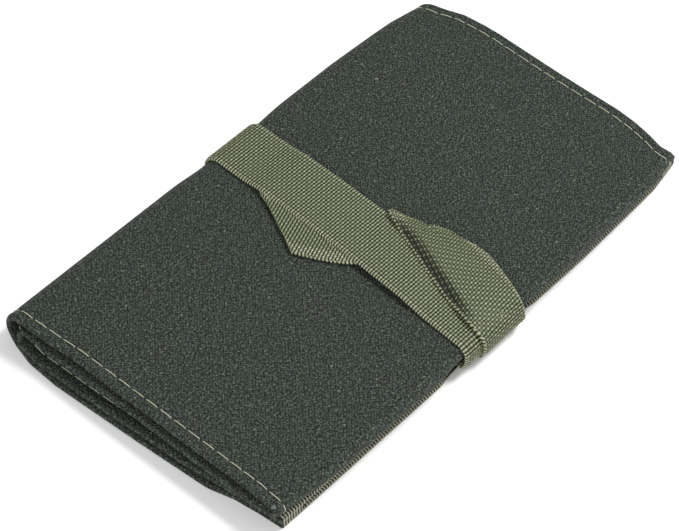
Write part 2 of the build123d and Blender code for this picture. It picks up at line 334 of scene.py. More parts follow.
def clothPoint(length, x, offset):
    # a point of the folded sheet: its place on the path, moved by offset along the path's normal,
    # then pressed, waved, slipped along the roll and drawn in at the folds
    y = np.interp(length, pathLength, path[:, 0])
    z = np.interp(length, pathLength, path[:, 1])
    ahead = np.clip(length + drape["normalStep"], 0, sheetEnd)
    behind = np.clip(length - drape["normalStep"], 0, sheetEnd)
    ty = np.interp(ahead, pathLength, path[:, 0]) - np.interp(behind, pathLength, path[:, 0])
    tz = np.interp(ahead, pathLength, path[:, 1]) - np.interp(behind, pathLength, path[:, 1])
    size = np.maximum(np.hypot(ty, tz), 1e-9)
    y = y + offset * tz / size
    z = z - offset * ty / size
    share = {leaf: weight(length) for leaf, weight in leafShare.items()}
    # the strap draws the folds in and presses the cover down
    beside = np.abs(x - strapX(y))
    band = 1 - smoothStep(beside, *drape["strapBand"])
    frontBand = 1 - smoothStep(np.abs(x - drape["frontMiddle"]), *drape["frontBand"])
    pressedFrom, pressedTo = (part * strap["width"] for part in drape["pressedBand"])
    pressed = share["cover"] * (1 - smoothStep(beside, pressedFrom, pressedTo))
    z = z - canvas["strapPinch"] * pressed - drape["bandDip"] * share["cover"] * band
    fade = 1 - smoothStep(np.abs(y), *drape["waveFade"])
    wave = waves(x, y) * fade
    z = z + drape["coverWave"] * wave * share["cover"]
    z = z + drape["middleWave"] * (wave - drape["middleWaveDrop"]) * share["middle"]
    # the cover swells a little between the strap and each end
    crown = np.cos(np.pi * np.clip(y / (yBack - yFront), -0.5, 0.5)) ** 2
    crown = crown * smoothStep(beside, *drape["swellFromStrap"])
    crown = crown * (1 - smoothStep(np.abs(x), drape["swellFromMiddle"], half))
    z = z + drape["swell"] * share["cover"] * crown
    # the lower leaf rises over the strap's run
    z = z + share["lower"] * underLift(x, y)
    # at the near end the inner leaf lies up against the cover and the middle leaf sags by the spine
    near = smoothStep(-x, *drape["nearEnd"])
    awayFromFolds = 1 - smoothStep(np.abs(y - drape["flatCentre"]), *drape["flatBand"])
    z = z - drape["coverDip"] * near * share["cover"] * awayFromFolds
    z = z + drape["innerLift"] * near * share["inner"] * (1 - smoothStep(y, *drape["innerLiftFade"]))
    sag = smoothStep(y, *drape["sagFrom"]) * (1 - smoothStep(y, *drape["sagFade"]))
    z = z - drape["middleSag"] * sag * near * share["middle"]
    # each leaf slips by its own table, and the cover's far end is warped
    slip = sum(share[leaf] * lookUp(slipTables[leaf], y) for leaf in slipTables)
    farWarp = lookUp(farTable, y) * smoothStep(x, drape["farWarpFrom"], half)
    slipped = x - slip + farWarp * share["cover"]
    # both folds are drawn in, by their tables and by the strap
    upper = share["cover"] + share["inner"]
    drawn = upper + (1 - upper) * smoothStep(x, 0, drape["pullLowerTo"])
    pullIn = smoothStep(-y, *drape["pullBand"]) * lookUp(frontPull, x) * drawn
    pullOut = smoothStep(y, *drape["pullBand"]) * lookUp(backPull, x)
    tight = canvas["frontPinch"] * (1 + drape["tightLower"] * share["lower"]) * frontBand
    tight = tight * smoothStep(-y, *drape["tightBand"])
    loose = canvas["backPinch"] * band * smoothStep(y, *drape["backBand"])
    y = y + pullIn - pullOut + tight - loose
    return np.stack([slipped, y, z], -1)


hem = {
    "fineFrom": 13 * mm,
    "plainStep": 2.2 * mm,
    "fineCount": 27,
    "riseBefore": 0.8 * mm,
    "riseAfter": 0.2 * mm,
    "dipWidth": 0.9 * mm,
    "innerDip": 0.8,
    "crown": 0.18 * mm,
    "crownInset": 1.9 * mm,
    "crownWidth": 1.1 * mm,
    "capSteps": 9,
}


def hemShare(x):
    # 1 where the cloth is doubled at an end, 0 elsewhere, with a short rise between
    edge = half - canvas["hemWidth"]
    return smoothStep(np.abs(x), edge - hem["riseBefore"], edge + hem["riseAfter"])


def hemProfile():
    # the sheet's closed section along x: outer face, round end, inner face with thicker hems, round end
    fineStart = half - hem["fineFrom"]
    plain = np.arange(-fineStart, fineStart + hem["plainStep"] / 2, hem["plainStep"])
    fine = np.linspace(fineStart, half, hem["fineCount"])
    xs = np.unique(np.round(np.concatenate([-fine, plain, fine]), 7))
    capRadius = (canvas["thickness"] + canvas["hemExtra"]) / 2
    xs = xs[np.abs(xs) <= half - capRadius + 1e-6]
    xs = np.concatenate([[-half + capRadius], xs, [half - capRadius]])
    xs = np.unique(np.round(xs, 7))
    dip = canvas["stitchDip"] * bell(np.abs(xs), half - canvas["stitchInset"], hem["dipWidth"])
    crown = hem["crown"] * bell(np.abs(xs), half - hem["crownInset"], hem["crownWidth"])
    outer = halfThick - dip + crown
    inner = -halfThick - canvas["hemExtra"] * hemShare(xs) + dip * hem["innerDip"]
    caps = np.radians(np.linspace(90, -90, hem["capSteps"])[1:-1])
    farX = half - capRadius + capRadius * np.cos(caps)
    farN = -canvas["hemExtra"] / 2 + capRadius * np.sin(caps)
    profileX = np.concatenate([xs, farX, xs[::-1], -farX[::-1]])
    profileN = np.concatenate([outer, farN, inner[::-1], farN[::-1]])
    return profileX, profileN


def clothPiece(name, start, stop):
    # the part of the folded sheet between two lengths: the section is carried along the path
    lengths = pathLength[(pathLength >= start - 1e-9) & (pathLength <= stop + 1e-9)]
    lengths = np.unique(np.concatenate([[start], lengths, [stop]]).round(8))
    profileX, profileN = hemProfile()
    length, x = np.meshgrid(lengths, profileX, indexing="ij")
    offset = np.broadcast_to(profileN, x.shape)
    grid = clothPoint(length, x, offset)
    faces = gridFaces(len(lengths), len(profileX), closed=True, capEnds=True)
    return newMesh(name, grid.reshape(-1, 3), faces, np.stack([x, length], -1).reshape(-1, 2))


outerCanvas = clothPiece("outerCanvas", 0.0, coverEnd)
innerCanvas = clothPiece("innerCanvas", coverEnd, sheetEnd)
print("stage: canvas", len(outerCanvas.data.polygons), len(innerCanvas.data.polygons))


# sewing thread

thread = {"pitch": 6.7 * mm, "length": 6.2 * mm, "radius": 0.2 * mm, "around": 6, "along": 9}


def stitchRow(starts, onCloth, length, radius, lift):
    # each stitch is a thin tube along onCloth(distance), which gives points, normals and side vectors;
    # it stands lift proud in its middle and sinks into the cloth at both ends
    along, around = thread["along"], thread["around"]
    share = np.linspace(-1, 1, along)
    distance = starts[:, None] + share * length / 2
    point, normal, side = onCloth(distance)
    height = lift * (1 - np.abs(share) ** 3.5) - radius * 1.2 * np.abs(share) ** 6
    thick = radius * np.sqrt(np.clip(1 - share ** 10, 0.02, 1))
    angle = np.linspace(0, 2 * np.pi, around, endpoint=False)
    middle = point + normal * height[None, :, None]
    upward = (np.sin(angle) * thick[:, None])[None, :, :, None] * 0.8
    sideways = (np.cos(angle) * thick[:, None])[None, :, :, None]
    ring = middle[:, :, None, :] + normal[:, :, None, :] * upward + side[:, :, None, :] * sideways
    tube = gridFaces(along, around, closed=True)
    nearEnd = np.array([[0, 1, 2, 3], [0, 3, 4, 5]])
    farEnd = (along - 1) * around + nearEnd[:, ::-1]
    return ring.reshape(-1, 3), repeated(np.vstack([tube, nearEnd, farEnd]), len(starts), along * around)


def repeated(faces, count, points):
    # the same faces for count copies of a shape with so many points
    return (faces[None] + (np.arange(count) * points)[:, None, None]).reshape(-1, 4)


def joined(parts):
    # several (points, faces) as one
    points, faces, base = [], [], 0
    for p, f in parts:
        points.append(p)
        faces.append(f + base)
        base += len(p)
    return np.vstack(points), np.vstack(faces)


def alongCloth(x, offset, sign):
    # the sheet's surface along one line of constant x, for a thread that follows it
    def onCloth(distance):
        little = 0.2 * mm
        here = clothPoint(distance, x + 0 * distance, offset + 0 * distance)
        out = clothPoint(distance, x + 0 * distance, offset + sign * little + 0 * distance)
        ahead = clothPoint(np.clip(distance + little, 0, sheetEnd), x + 0 * distance, offset + 0 * distance)
        behind = clothPoint(np.clip(distance - little, 0, sheetEnd), x + 0 * distance, offset + 0 * distance)
        normal = normalised(out - here)
        side = normalised(np.cross(normalised(ahead - behind), normal))
        return here, normal, side
    return onCloth


hemRow = {
    "phase": {-1: 2.1 * mm, 1: 3.4 * mm},
    "endRoom": 3 * mm,
    "outerDip": 0.75,
    "innerDip": 0.55,
    "outerLift": 0.2 * mm,
    "innerLift": 0.16 * mm,
}


def hemStitches(name, start, stop):
    # both rows of both hems, for the stitches that start between two lengths of the sheet;
    # the inner row is half a pitch on from the outer one
    outer = halfThick - canvas["stitchDip"] * hemRow["outerDip"]
    inner = -halfThick - canvas["hemExtra"] + canvas["stitchDip"] * hemRow["innerDip"]
    rows = ((outer, 1, hemRow["outerLift"], 0), (inner, -1, hemRow["innerLift"], thread["pitch"] / 2))
    parts = []
    for side, phase in hemRow["phase"].items():
        x = side * (half - canvas["stitchInset"])
        starts = np.arange(phase, sheetEnd - hemRow["endRoom"], thread["pitch"])
        for offset, sign, lift, shift in rows:
            here = starts + shift
            here = here[(here >= start) & (here < stop)]
            onCloth = alongCloth(x, offset, sign)
            parts.append(stitchRow(here, onCloth, thread["length"], thread["radius"], lift))
    points, faces = joined(parts)
    return newMesh(name, points, faces)


# the hems' stitches, piece by piece from one free edge to the other
reach = thread["length"] / 2 + 0.3 * mm
hemThreads = {
    "lowerHemStitches": (reach, lowerEnd - reach),
    "spineHemStitches": (lowerEnd - reach, roundEnd + reach),
    "coverHemStitches": (roundEnd + reach, coverEnd),
    "innerHemStitches": (coverEnd, innerEnd - reach),
    "innerSpineHemStitches": (innerEnd - reach, turnEnd + reach),
    "middleHemStitches": (turnEnd + reach, sheetEnd - reach - thread["pitch"] / 2),
}
hemThreads = {name: hemStitches(name, *ends) for name, ends in hemThreads.items()}


# overcast thread along the two free long edges

overcast = {
    "pitch": 1.25 * mm,
    "reach": 3.4 * mm,
    "radius": 0.36 * mm,
    "around": 5,
    "along": 16,
    "endRoom": 1.5 * mm,
    "overEdge": 0.35 * mm,
    "slant": 0.9,
}


def overcastEdge(name, edge, inward, clear):
    # loops of thread round the edge: each goes out along one face, round the edge and back, slanting
    pitch, radius = overcast["pitch"], overcast["radius"]
    at = -half + overcast["endRoom"] + np.arange(int((2 * half - 2 * overcast["endRoom"]) / pitch)) * pitch
    at = at[(at < clear[0]) | (at > clear[1])]
    along, around = overcast["along"], overcast["around"]
    share = np.linspace(-1, 1, along)
    # distance in from the edge, and height off the middle of the cloth, round a stadium
    into = overcast["reach"] * np.abs(share) ** 0.8 - overcast["overEdge"]
    sink = radius * 2.0 * smoothStep(np.abs(share), 0.86, 1.0)
    height = np.clip(share * 6, -1, 1) * (halfThick + radius * 0.75 - sink)
    x = at[:, None] + share / 2 * pitch * overcast["slant"]
    offset = np.broadcast_to(height, x.shape) - canvas["hemExtra"] * hemShare(x) * (height < 0)
    length = edge + inward * np.broadcast_to(into, x.shape)
    beyond = np.clip(-inward * (length - edge), 0, 1)
    centre = clothPoint(np.clip(length, 0, sheetEnd), x, offset)
    centre[..., 1] -= beyond
    tangent = normalised(np.gradient(centre, axis=1))
    helper = np.broadcast_to(np.array([1.0, 0, 0]), tangent.shape)
    across = normalised(np.cross(tangent, helper))
    over = np.cross(tangent, across)
    angle = np.linspace(0, 2 * np.pi, around, endpoint=False)[:, None]
    ring = across[:, :, None] * np.cos(angle) + over[:, :, None] * np.sin(angle)
    ring = centre[:, :, None] + radius * ring
    faces = repeated(gridFaces(along, around, closed=True), len(at), along * around)
    return newMesh(name, ring.reshape(-1, 3), faces)


# no loops where the strap's sewn end and its run cross the edges
sewnRoom = (-20.5 * mm, 15.5 * mm)
lowerOvercast = overcastEdge("lowerOvercast", 0.0, 1, sewnRoom)
middleOvercast = overcastEdge("middleOvercast", sheetEnd, -1, sewnRoom)
print("stage: thread")


# pocket panels on the inner face of each leaf

pocket = {
    "near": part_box("lower_pockets")[0].x,
    "far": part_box("lower_pockets")[1].x,
    "front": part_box("lower_pockets")[0].y,
    "back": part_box("lower_pockets")[1].y,
    "count": 2,
    "thickness": 0.7 * mm,
    "puff": 0.35 * mm,
    "bottomPuff": 0.35,
    "puffFrom": (2 * mm, 9 * mm),
    "mouthHem": 9 * mm,
    "mouthExtra": 0.3 * mm,
    "mouthRise": (-0.6 * mm, 0.4 * mm),
    "seamInset": 2 * mm,
    "bottomInset": 1.6 * mm,
    "stitchLength": 2.6 * mm,
    "stitchPitch": 3.1 * mm,
    "stitchRadius": 0.2 * mm,
    "stitchLift": 0.12 * mm,
    "sunk": 0.12 * mm,
    "play": 0.05 * mm,
    "rows": 56,
    "columns": 76,
}
seamFront = pocket["front"] + pocket["seamInset"]
seamSpan = pocket["back"] - pocket["front"] - 2 * pocket["seamInset"]


def seamShare(y):
    # 0 on a seam, 1 in the middle of a pocket: the sine across each pocket, to the power 0.6
    across = (y - seamFront) / seamSpan * pocket["count"]
    return np.clip(np.sin(np.pi * (across % 1.0)), 0, 1) ** 0.6 * (across > 0) * (across < pocket["count"])


def pocketHeight(x, y):
    # how far the panel stands off the leaf: low at the seams and the bottom, fuller at the mouth
    mouth = smoothStep(x, pocket["near"], pocket["far"])
    full = pocket["bottomPuff"] + (1 - pocket["bottomPuff"]) * mouth
    start, stop = pocket["puffFrom"]
    return pocket["puff"] * seamShare(y) * full * smoothStep(x, pocket["near"] + start, pocket["near"] + stop)


def leafLength(leaf, y):
    # where a place across the roll is along the sheet, on one leaf
    if leaf == "lower":
        return y - yLowerEdge
    if leaf == "cover":
        return roundEnd + (ySpine - y)
    if leaf == "inner":
        return frontEnd + (y - yFold)
    return turnEnd + (yInner - y)


panelFace = -halfThick - pocket["play"]


def pocketPanel(leaf):
    # a panel parallel to the leaf's inner face, pocketHeight off it, thicker at its mouth
    xs = np.linspace(pocket["near"], pocket["far"], pocket["rows"])
    ys = np.linspace(pocket["front"], pocket["back"], pocket["columns"])
    x, y = np.meshgrid(xs, ys)
    lift = pocketHeight(x, y)
    mouth = pocket["far"] - pocket["mouthHem"]
    extra = pocket["mouthExtra"] * smoothStep(x, *(mouth + rise for rise in pocket["mouthRise"]))
    length = leafLength(leaf, y)
    upper = clothPoint(length, x, panelFace - lift - pocket["thickness"] - extra)
    under = clothPoint(length, x, panelFace - lift)
    # the two faces are one closed sheet: each row runs along the upper face and back along the lower one
    grid = np.concatenate([upper, under[:, ::-1]], 1)
    u = np.concatenate([x, x[:, ::-1]], 1)
    v = np.concatenate([y, y[:, ::-1]], 1)
    turn = -1 if leaf in ("lower", "inner") else 1
    faces = gridFaces(grid.shape[0], grid.shape[1], closed=True, capEnds=True)[:, ::turn]
    return newMesh(leaf + "PocketPanel", grid.reshape(-1, 3), faces, np.stack([u, v], -1).reshape(-1, 2))


def pocketSeams(leaf):
    # seams on the panel's face: one between and beside the pockets, along x, and one along their bottoms
    def onPanel(x, y, sideAxis):
        offset = panelFace - pocketHeight(x, y) - pocket["thickness"] + pocket["sunk"]
        here = clothPoint(leafLength(leaf, y), x, offset)
        out = clothPoint(leafLength(leaf, y), x, offset - 0.2 * mm)
        normal = normalised(out - here)
        return here, normal, np.broadcast_to(np.array(sideAxis), normal.shape)

    def wall(y):
        return lambda distance: onPanel(distance, y + 0 * distance, (0, 1.0, 0))

    def bottom(distance):
        return onPanel(pocket["near"] + pocket["bottomInset"] + 0 * distance, distance, (1.0, 0, 0))

    size = (pocket["stitchLength"], pocket["stitchRadius"], pocket["stitchLift"])
    starts = np.arange(pocket["near"] + 3 * mm, pocket["far"] - 1.5 * mm, pocket["stitchPitch"])
    walls = seamFront + np.arange(pocket["count"] + 1) * seamSpan / pocket["count"]
    parts = [stitchRow(starts, wall(y), *size) for y in walls]
    starts = np.arange(pocket["front"] + 3 * mm, pocket["back"] - 2 * mm, pocket["stitchPitch"])
    parts.append(stitchRow(starts, bottom, *size))
    points, quads = joined(parts)
    return newMesh(leaf + "PocketSeams", points, quads)


pockets = {leaf: (pocketPanel(leaf), pocketSeams(leaf)) for leaf in ("lower", "cover", "inner", "middle")}
print("stage: pockets")


# webbing

def smoothCurve(points, step):
    # a Catmull-Rom curve through the points, then spaced evenly by length
    p = np.array(points, float)
    p = np.vstack([2 * p[0] - p[1], p, 2 * p[-1] - p[-2]])
    t = np.linspace(0, 1, 60, endpoint=False)[:, None]
    pieces = []
    for a, b, c, d in zip(p[:-3], p[1:-2], p[2:-1], p[3:]):
        square, cube = 2 * a - 5 * b + 4 * c - d, 3 * b - a - 3 * c + d
        pieces.append(0.5 * (2 * b + (c - a) * t + square * t ** 2 + cube * t ** 3))
    curve = np.vstack([*pieces, p[-2:-1]])
    length = lengthAlong(curve)
    even = np.linspace(0, length[-1], max(3, int(round(length[-1] / step)) + 1))
    return alongCurve(curve, length, even)


def alongCurve(curve, length, at):
    # the curve's points at given lengths
    return np.stack([np.interp(at, length, curve[:, k]) for k in range(curve.shape[1])], 1)


webRelief = {
    "rib": 0.35,
    "yarn": 0.8,
    "selvageFrom": (0.88, 0.97),  # shares of the half width
    "selvageFlat": 0.3,
    "sunk": 0.6,
    "wobble": 0.10 * mm,
    "capSteps": 7,
    "capFlat": 0.93,
    # how far painted shade lowers the relief where a ribbon is shaded
    "shade": 0.5,
}


def ribbon(name, left, right, startLength=0.0, stagger=0.35, bulge=None, paintedShade=0.0):
    # webbing between two selvage curves given point by point: rows run straight across,
    # the section is flat with round selvages, and each selvage carries its own length.
    # The relief is ribs across, crossed by yarns along: square rows of bumps mixed with staggered ones
    across, thick = strap["across"], strap["thickness"]
    middle = (left + right) / 2
    length, leftLength, rightLength = (startLength + lengthAlong(p) for p in (middle, left, right))
    alongVector = normalised(np.gradient(middle, axis=0))
    extra = np.zeros((len(middle), across, 3)) if bulge is None else bulge
    width = np.linalg.norm(right - left, axis=1)
    sideVector = normalised(right - left)
    up = normalised(np.cross(sideVector, alongVector))
    q = np.linspace(-1, 1, across)
    inset = 0.5 * thick
    flatShare = q * (1 - inset * 2 / width[:, None])
    capAngle = np.radians(np.linspace(90, -90, webRelief["capSteps"])[1:-1])
    rowLength = leftLength[:, None] * (1 - q) / 2 + rightLength[:, None] * (1 + q) / 2
    ribWave = np.cos(np.pi * rowLength / strap["ribPitch"])
    yarnWave = np.cos(np.pi * q * width[:, None] / 2 / strap["yarnPitch"])
    ribs = ribWave ** 2
    yarns = (1 - stagger) * (ribWave * yarnWave) ** 2 + stagger * ((ribWave + yarnWave) / 2) ** 2
    # the relief is painted as shade by the material, dark where it is low; shaded places are lowered further,
    # as painted shade
    reliefAndShade = (ribs * webRelief["rib"] + yarns * webRelief["yarn"]) * (1 - webRelief["shade"] * paintedShade)
    flatter = 1 - webRelief["selvageFlat"] * smoothStep(np.abs(q), *webRelief["selvageFrom"])
    raised = (strap["ribHeight"] * ribs + strap["yarnHeight"] * yarns) * flatter
    height = up[:, None] * (thick / 2 - strap["ribHeight"] * webRelief["sunk"] + raised)[..., None]
    base = middle[:, None] + sideVector[:, None] * (flatShare * width[:, None] / 2)[..., None] + extra
    capWave = np.cos(2 * np.pi * length / strap["ribPitch"])

    def cap(side, angle, edge):
        # half a round along one selvage, a little wavy with the ribs
        out = (width / 2 - inset + webRelief["wobble"] * capWave)[:, None] + inset * np.cos(angle)
        high = thick / 2 * webRelief["capFlat"] * np.sin(angle)
        points = middle[:, None] + side * sideVector[:, None] * out[..., None] + edge
        return points + up[:, None] * high[None, :, None]

    rightCap = cap(1, capAngle, extra[:, -1:])
    leftCap = cap(-1, capAngle[::-1], extra[:, :1])
    capRelief = np.broadcast_to(0.5 + 0.5 * capWave[:, None], rightCap.shape[:2])
    grid = np.concatenate([base + height, rightCap, (base - height)[:, ::-1], leftCap], 1)
    reliefAndShade = np.concatenate([reliefAndShade, capRelief, reliefAndShade[:, ::-1], capRelief], 1)
    capU = np.full(len(capAngle), 0.5)
    u = np.concatenate([q / 2, capU, q[::-1] / 2, -capU])[None, :] * width[:, None]
    rightV = np.broadcast_to(rightLength[:, None], capRelief.shape)
    leftV = np.broadcast_to(leftLength[:, None], capRelief.shape)
    v = np.concatenate([rowLength, rightV, rowLength[:, ::-1], leftV], 1)
    faces = gridFaces(grid.shape[0], grid.shape[1], closed=True, capEnds=True)[:, ::-1]
    uv = np.stack([u, v], -1).reshape(-1, 2)
    return newMesh(name, grid.reshape(-1, 3), faces, uv, reliefAndShade.ravel()), length[-1]


strapHalf = strap["thickness"] / 2
strapWide = strap["width"] / 2
coverUnderStrap = top - canvas["strapPinch"] - drape["bandDip"]
zFirst = coverUnderStrap + strap["gap"] + strapHalf
layer = strap["thickness"] + strap["gap"]
yLegFirst = yFront + canvas["frontPinch"] - strap["gap"] - strapHalf
yLegWrap = yLegFirst - layer
anchorZ = zLower + strapRoom + halfThick + strap["gap"] + strapHalf

# the first wrap: the arc it leaves the sewn end by, the centre of its corner, and where the tail lifts it
first = {
    "lowRadius": 6.6 * mm,
    "lowZ": 8.4 * mm,
    "startLift": 0.3 * mm,
    "cornerZ": 10.2 * mm,
    "liftFrom": (-46 * mm, -30 * mm),
    "liftTo": (36 * mm, 50 * mm),
    "frontY": -64 * mm,
}
under = {
    "spineTuck": 0.8 * mm,
    "corner": 7.4 * mm,
    "cornerEnd": 220.7,  # degrees, where it meets the second wrap
    "narrower": 0.8 * mm,
    "narrowBand": (40 * mm, 64 * mm),
}


def firstHeight(y):
    # the first wrap lies on the cover and rises over the tail that passes beneath it
    rise = smoothStep(y, *first["liftFrom"]) * (1 - smoothStep(y, *first["liftTo"]))
    return zFirst + layer * rise


def firstWrap():
    # up round the front fold and along the top to the spine: a low arc, a corner, then along the cover
    low = first["lowRadius"]
    startAngle = math.degrees(math.asin((first["lowZ"] - anchorZ - first["startLift"]) / low))
    leg = turned(yLegFirst + low, first["lowZ"], low, low, 180 + startAngle, 180, 14)
    radius = zFirst - first["cornerZ"]
    corner = turned(yLegFirst + radius, zFirst - radius, radius, radius, 180, 90, 12)
    ys = np.linspace(yLegFirst + radius, ySpine, 90)[1:]
    over = np.stack([ys, firstHeight(ys)], 1)
    line = np.vstack([leg, corner, over])
    x = strapX(np.clip(line[:, 0], first["frontY"], 1))
    curve = smoothCurve(np.column_stack([x, line]), strap["step"])
    side = np.array([strapWide, 0, 0])
    return ribbon("strapFirstWrap", curve - side, curve + side), curve[0]


(strapFirst, firstLength), firstStart = firstWrap()


def underWrap():
    # round the spine, under the lower leaf and up to the front edge, narrowing as it is drawn up
    zEnd = firstHeight(np.array([ySpine]))[0]
    radius = (zEnd - strapHalf) / 2
    spineReach = yBack - under["spineTuck"] + strap["gap"] + strapHalf - ySpine
    bend = turned(ySpine, strapHalf + radius, spineReach, radius, 90, -90, 40)
    corner = under["corner"]
    ys = np.linspace(ySpine, yLegWrap + corner, 60)[1:]
    below = np.stack([ys, np.full(len(ys), strapHalf)], 1)
    rise = turned(yLegWrap + corner, strapHalf + corner, corner, corner, 270, under["cornerEnd"], 14)[1:]
    line = np.vstack([bend, below, rise])
    x = np.where(line[:, 1] > strapHalf + radius, strapLine["x"][-1], underX(line[:, 0]))
    curve = smoothCurve(np.column_stack([x, line]), strap["step"])
    wide = strapWide - under["narrower"] * smoothStep(-curve[:, 1], *under["narrowBand"])
    side = np.array([1.0, 0, 0]) * wide[:, None]
    return ribbon("strapUnderWrap", curve - side, curve + side, startLength=firstLength)


strapUnder, underLength = underWrap()

# the second wrap's two selvages, point by point: up the front edge, over the first wrap, to the fold
wrapLeft = [
    (-10.4, -64.2, 3.2),
    (-10.6, -66.2, 5.6),
    (-10.8, -66.8, 8.4),
    (-11.0, -66.5, 11.85),
    (-11.2, -64.9, 14.5),
    (-10.9, -61.6, 15.8),
    (-8.0, -51.5, 17.0),
    (-3.0, -36.5, 18.3),
    (3.3, -20.5, 18.9),
    (10.0, -4.2, 17.7),
]
wrapRight = [
    (12.6, -64.2, 3.2),
    (12.4, -66.2, 5.6),
    (11.8, -66.7, 8.4),
    (11.4, -66.5, 11.5),
    (11.6, -64.9, 14.3),
    (12.9, -61.3, 15.6),
    (16.2, -53.5, 15.5),
    (18.7, -46.0, 15.8),
    (19.2, -41.0, 15.9),
    (18.2, -38.2, 15.8),
]
tailLeft = [(10.0, -4.2, 14.75), (1.0, 7.2, 14.5), (-5.6, 22.0, 14.45), (-11.2, 40.0, 14.75)]
tailRight = [
    (18.2, -38.2, 14.55),
    (0.5, -22.5, 14.5),
    (-15.9, -9.0, 14.6),
    (-25.6, 8.2, 15.0),
    (-24.6, 10.8, 15.0),
]
second = {
    "points": 320,
    "foldPoints": 16,
    "foldOut": 1.15,
    "foldRoom": 0.25 * mm,
    "stepOut": 1.7 * mm,
    "stepLong": 6.5 * mm,
    "stepFrom": (-0.16, 0.02),
    "stepFade": (0.3, 1.0),
    "curl": 2.3 * mm,
    "curlWide": (-1.0, -0.62),
    "curlFrom": (-60 * mm, -44 * mm),
    "curlTo": (-16 * mm, -5 * mm),
    "stagger": 0.45,
}


def secondWrap():
    # up over the first wrap, half a turn about the fold line, and the tail back beneath the first wrap;
    # both selvages are read at the same shares of their own lengths
    share = np.linspace(0, 1, second["points"])

    def selvage(points):
        dense = smoothCurve(np.array(points) * mm, strap["step"])
        length = lengthAlong(dense)
        return alongCurve(dense, length, share * length[-1])

    left, right, tailL, tailR = (selvage(points) for points in (wrapLeft, wrapRight, tailLeft, tailRight))
    foldOut = normalised(np.cross(right[-1] - left[-1], np.array([0, 0, 1.0])))
    foldOut = foldOut * np.sign(foldOut[0])
    turn = np.linspace(0, np.pi, second["foldPoints"])[1:-1, None]

    def around(upper, lower):
        # half an ellipse outward from the upper point down to the lower one
        radius = (upper[2] - lower[2]) / 2
        out = radius * second["foldOut"] + second["foldRoom"]
        upright = np.array([0, 0, 1.0]) * radius * np.cos(turn)
        return (upper + lower) / 2 + upright + foldOut * out * np.sin(turn)

    allLeft = np.vstack([left, around(left[-1], tailL[0]), tailL])
    allRight = np.vstack([right, around(right[-1], tailR[0]), tailR])
    length = lengthAlong((allLeft + allRight) / 2)
    even = np.linspace(0, length[-1], int(length[-1] / strap["step"]))
    allLeft, allRight = (alongCurve(p, length, even) for p in (allLeft, allRight))
    # past its middle the fold stands out further, in one step
    q = np.linspace(-1, 1, strap["across"])
    foldAt = length[len(left) + len(turn) // 2]
    stepOut = smoothStep(q, *second["stepFrom"]) * (1 - 0.6 * smoothStep(q, *second["stepFade"]))
    stepOut = stepOut[None, :] * bell(even, foldAt, second["stepLong"])[:, None]
    # its left edge rolls down onto the first wrap between the front corner and the fold
    leftY = allLeft[:, 1]
    rolled = smoothStep(leftY, *second["curlFrom"]) * (1 - smoothStep(leftY, *second["curlTo"]))
    rolled = rolled * (even < foldAt)
    curl = rolled[:, None] * (1 - smoothStep(q, *second["curlWide"]))[None, :] ** 1.3
    bulge = foldOut * (second["stepOut"] * stepOut)[..., None]
    bulge = bulge - np.array([0, 0, second["curl"]]) * curl[..., None]
    # the rolled edge is also painted in shade: its relief is lowered, darker the more it curls
    return ribbon(
        "strapSecondWrap",
        allLeft,
        allRight,
        startLength=underLength,
        stagger=second["stagger"],
        bulge=bulge,
        paintedShade=np.sqrt(curl),
    )


strapSecond, strapTotal = secondWrap()


def sewnEnd():
    # a flat run on the lower leaf, from its box of stitches to where the first wrap starts
    y = np.linspace(yFront + anchorLength + 3 * mm, firstStart[1] - 0.05 * mm, 60)
    curve = smoothCurve(np.column_stack([strapX(y), y, np.full(len(y), anchorZ)]), strap["step"])
    side = np.array([strapWide, 0, 0])
    return ribbon("strapSewnEnd", curve - side, curve + side)


strapSewnEnd, sewnLength = sewnEnd()
print("stage: strap, length in metres", round(strapTotal + sewnLength, 3))

box = {
    "sideInset": 3 * mm,
    "front": 6 * mm,
    "back": 1 * mm,
    "pitch": 2.6 * mm,
    "length": 2.2 * mm,
    "radius": 0.22 * mm,
    "lift": 0.16 * mm,
    "startRoom": 1.3 * mm,
    "endRoom": 0.6 * mm,
}


def boxStitches():
    # a box of stitches with one diagonal, which holds the strap's end
    x, wide = strapX(yFront), strapWide - box["sideInset"]
    low = np.array([x - wide, yFront + box["front"]])
    high = np.array([x + wide, yFront + anchorLength + box["back"]])
    corners = np.array([low, (high[0], low[1]), high, (low[0], high[1]), low, high])

    def side(a, b):
        size = np.linalg.norm(b - a)
        heading = (b - a) / size

        def onStrap(distance):
            xy = a + heading * distance[..., None]
            here = np.concatenate([xy, np.full(distance.shape + (1,), anchorZ + strapHalf)], -1)
            normal = np.broadcast_to(np.array([0, 0, 1.0]), here.shape)
            return here, normal, np.broadcast_to(np.array([-heading[1], heading[0], 0]), here.shape)

        starts = np.arange(box["startRoom"], size - box["endRoom"], box["pitch"])
        return stitchRow(starts, onStrap, box["length"], box["radius"], box["lift"])

    points, faces = joined([side(a, b) for a, b in zip(corners[:-1], corners[1:])])
    return newMesh("strapBoxStitches", points, faces)


strapStitches = boxStitches()


# materials

def makeGroup(name, inputs, outputs):
    group = bpy.data.node_groups.new(name, "ShaderNodeTree")
    for label, kind, value in inputs:
        socket = group.interface.new_socket(label, in_out="INPUT", socket_type=kind)
        if value is not None:
            socket.default_value = value
    for label, kind in outputs:
        group.interface.new_socket(label, in_out="OUTPUT", socket_type=kind)
    start = group.nodes.new("NodeGroupInput")
    finish = group.nodes.new("NodeGroupOutput")
    return group, start, finish


def link(tree, source, target):
    tree.links.new(source, target)


def mathNode(tree, operation, a, b=None, clamp=False):
    node = tree.nodes.new("ShaderNodeMath")
    node.operation = operation
    node.use_clamp = clamp
    for socket, value in zip(node.inputs, (a, b)):
        if value is None:
            continue
        if isinstance(value, (int, float)):
            socket.default_value = value
        else:
            link(tree, value, socket)
    return node.outputs[0]


